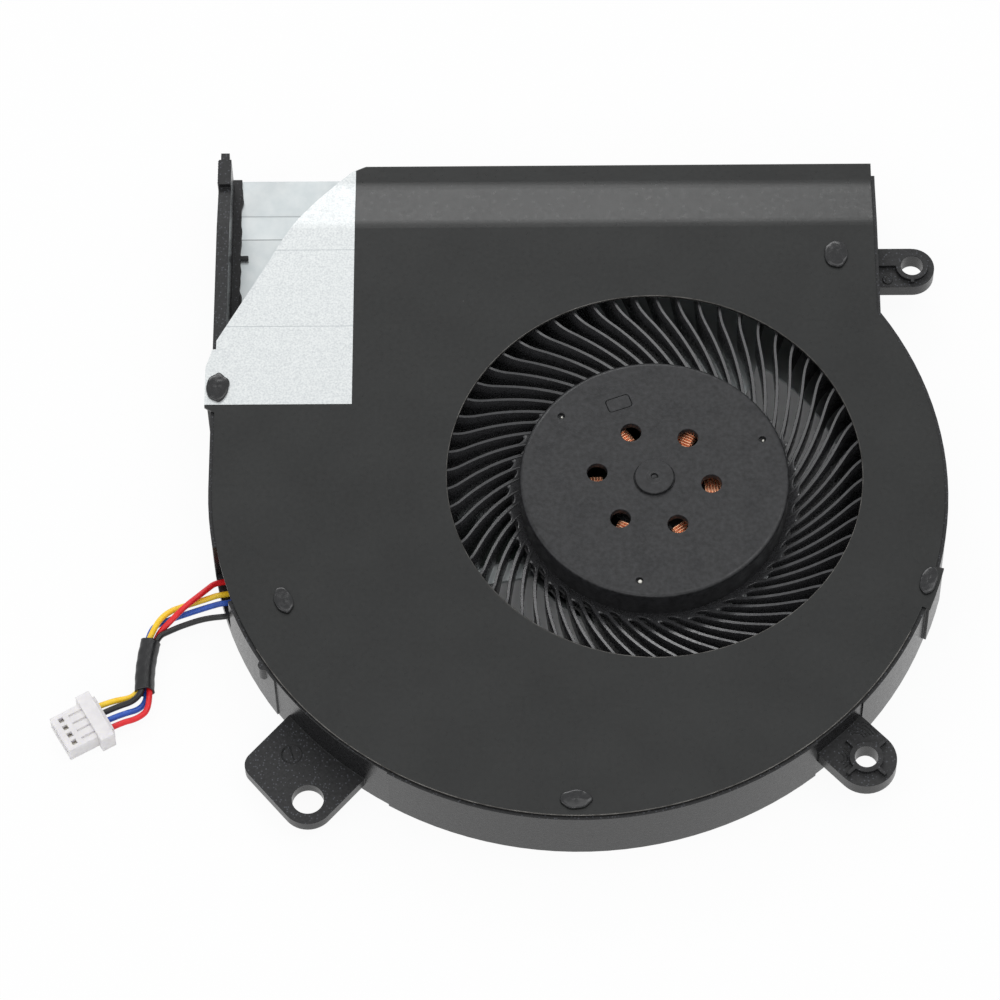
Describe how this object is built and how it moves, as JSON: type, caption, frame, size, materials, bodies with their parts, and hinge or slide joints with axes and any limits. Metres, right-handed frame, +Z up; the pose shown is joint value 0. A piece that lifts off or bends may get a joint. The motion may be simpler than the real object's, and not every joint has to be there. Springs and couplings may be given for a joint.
{
  "type": "laptop cooling blower fan",
  "caption": "Slim centrifugal blower with a curved-blade impeller in a flat scroll housing, side outlet, screw tabs and a short lead set with a plug.",
  "frame": {"origin": "on the impeller's axis at the underside of the base plate", "axes": "+Z up through the inlet along the impeller's axis, +Y out through the air outlet, +X to the right"},
  "size_m": [0.0966, 0.0839, 0.0083],
  "materials": {
    "frame_plastic": "fine matt moulding",
    "cover_paint": "satin black coat on thin sheet",
    "zinc_sheet": "galvanised sheet",
    "foil": "bright foil with a fine grain",
    "impeller_plastic": "satin moulding",
    "steel": "plated",
    "magnet": "bonded ferrite",
    "shaft_steel": "ground",
    "brass": "turned",
    "bush_bronze": "sintered",
    "pad_nylon": "moulded",
    "core_steel": "stacked laminations",
    "insulator": "moulded",
    "board": "solder mask",
    "chip": "moulded",
    "capacitor": "ceramic",
    "lead_red": "extruded insulation",
    "lead_yellow": "extruded insulation",
    "lead_blue": "extruded insulation",
    "lead_black": "extruded insulation",
    "sleeve": "heat-shrink",
    "plug_nylon": "natural nylon",
    "terminal_tin": "tinned",
    "copper": "enamelled winding wire"
  },
  "bodies": {
    "housing": {"frame": "frame_plastic", "top_cover": "cover_paint", "base_plate": "zinc_sheet", "foil_patch": "foil", "bearing_holder": "brass", "bearing_bush": "bush_bronze", "thrust_pad": "pad_nylon", "stator_core": "core_steel", "lower_insulator": "insulator", "upper_insulator": "insulator", "circuit_board": "board", "driver_chip": "chip", "board_capacitor": "capacitor", "lead_red": "lead_red", "lead_yellow": "lead_yellow", "lead_blue": "lead_blue", "lead_black": "lead_black", "lead_sleeve": "sleeve", "plug_housing": "plug_nylon", "coil_1": "copper", "coil_2": "copper", "coil_3": "copper", "coil_4": "copper", "coil_5": "copper", "coil_6": "copper", "terminal_1": "terminal_tin", "terminal_2": "terminal_tin", "terminal_3": "terminal_tin", "terminal_4": "terminal_tin"},
    "rotor": {"impeller": "impeller_plastic", "rotor_yoke": "steel", "magnet_ring": "magnet", "shaft": "shaft_steel"}
  },
  "joints": [
    {"name": "impeller_spin", "type": "hinge", "parent": "housing", "child": "rotor", "pos_m": [0, 0, 0], "axis": [0, 0, 1], "continuous": true}
  ]
}
